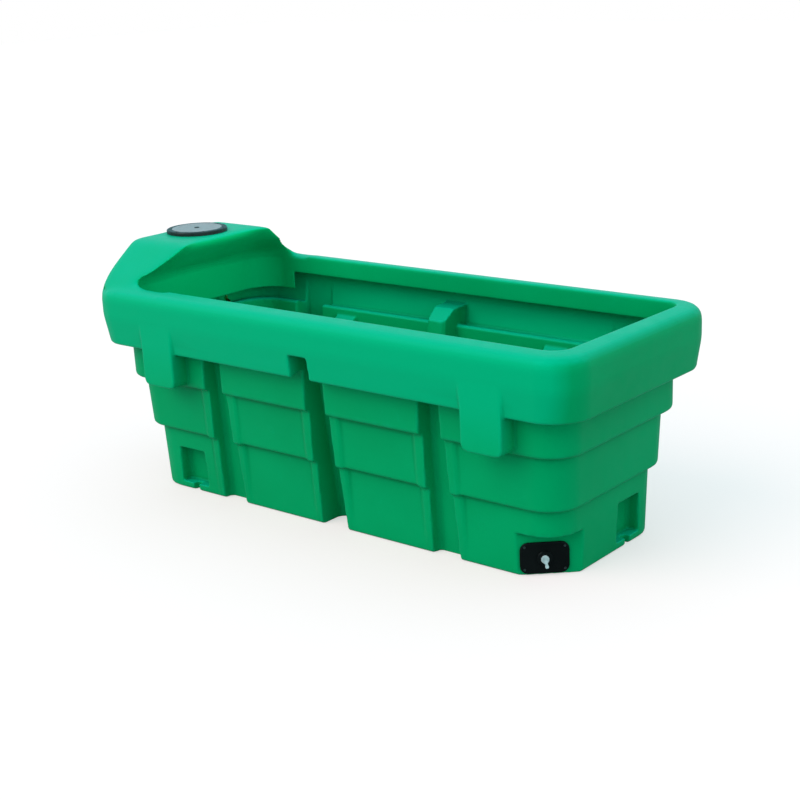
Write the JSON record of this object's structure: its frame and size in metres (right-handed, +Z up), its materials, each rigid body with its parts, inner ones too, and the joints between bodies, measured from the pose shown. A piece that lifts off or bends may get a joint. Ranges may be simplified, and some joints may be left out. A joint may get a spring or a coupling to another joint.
{
  "type": "pasture water trough",
  "caption": "Moulded livestock drinking trough with stepped fluted walls, a deep rim, a hooded float valve with an inspection hatch, and a corner drain.",
  "frame": {"origin": "middle of the underside", "axes": "+Z up, +X towards the drain end, -Y the front long side"},
  "size_m": [2.042, 0.831, 0.8815],
  "materials": {
    "moulded_green": "satin, finely textured",
    "black_plastic": "satin",
    "gloss_black": "gloss",
    "grey_lid": "satin",
    "white_nylon": "satin",
    "rubber": "matt",
    "brass": "turned",
    "steel": "drawn",
    "black_steel": "blackened",
    "bright_key": "polished"
  },
  "bodies": {
    "trough": {"trough_shell": "moulded_green", "hatch_ring": "black_plastic", "hatch_gasket": "rubber", "valve_body": "black_plastic", "valve_nut_outer": "black_plastic", "valve_nut_inner": "black_plastic", "valve_washer_outer": "rubber", "valve_washer_inner": "rubber", "valve_seat": "white_nylon", "valve_end_cap": "black_plastic", "valve_pin": "steel", "drain_gasket": "rubber", "drain_plate": "gloss_black", "drain_bush": "black_plastic", "drain_nut": "black_plastic", "hatch_screw_1": "black_steel", "hatch_screw_2": "black_steel", "hatch_screw_3": "black_steel", "hatch_screw_4": "black_steel", "hatch_screw_5": "black_steel", "hatch_screw_6": "black_steel", "drain_screw_1": "black_steel", "drain_screw_2": "black_steel", "drain_screw_3": "black_steel", "drain_screw_4": "black_steel"},
    "hatch_lid": {"hatch_lid": "grey_lid", "hatch_lid_seal": "rubber", "hatch_lid_plug": "black_plastic"},
    "float_arm": {"valve_lever": "black_plastic", "float_rod": "steel", "float_nut": "brass", "float_ball": "black_plastic"},
    "piston": {"valve_piston": "brass", "valve_piston_washer": "rubber"},
    "drain_plug": {"drain_plug": "black_plastic", "drain_plug_seal": "rubber"},
    "drain_key": {"drain_key": "bright_key"}
  },
  "joints": [
    {"name": "hatch_lid_lift", "type": "slide", "parent": "trough", "child": "hatch_lid", "axis": [0, 0, 1], "range_m": [0, 0.08]},
    {"name": "float_arm_swing", "type": "hinge", "parent": "trough", "child": "float_arm", "pos_m": [-0.935, 0.17, 0.6305], "axis": [0, -1, 0], "range_deg": [0, 30]},
    {"name": "piston_slide", "type": "slide", "parent": "trough", "child": "piston", "axis": [-1, 0, 0], "range_m": [0, 0.0071]},
    {"name": "drain_plug_pull", "type": "slide", "parent": "trough", "child": "drain_plug", "axis": [0.6561, -0.7547, 0], "range_m": [0, 0.06]},
    {"name": "drain_key_turn", "type": "hinge", "parent": "drain_plug", "child": "drain_key", "pos_m": [0.783, -0.2305, 0.056], "axis": [0.6561, -0.7547, 0], "range_deg": [0, 90]}
  ],
  "couplings": [
    {"joint": "piston_slide", "follows": "float_arm_swing", "m_per_rad": 0.013369}
  ]
}
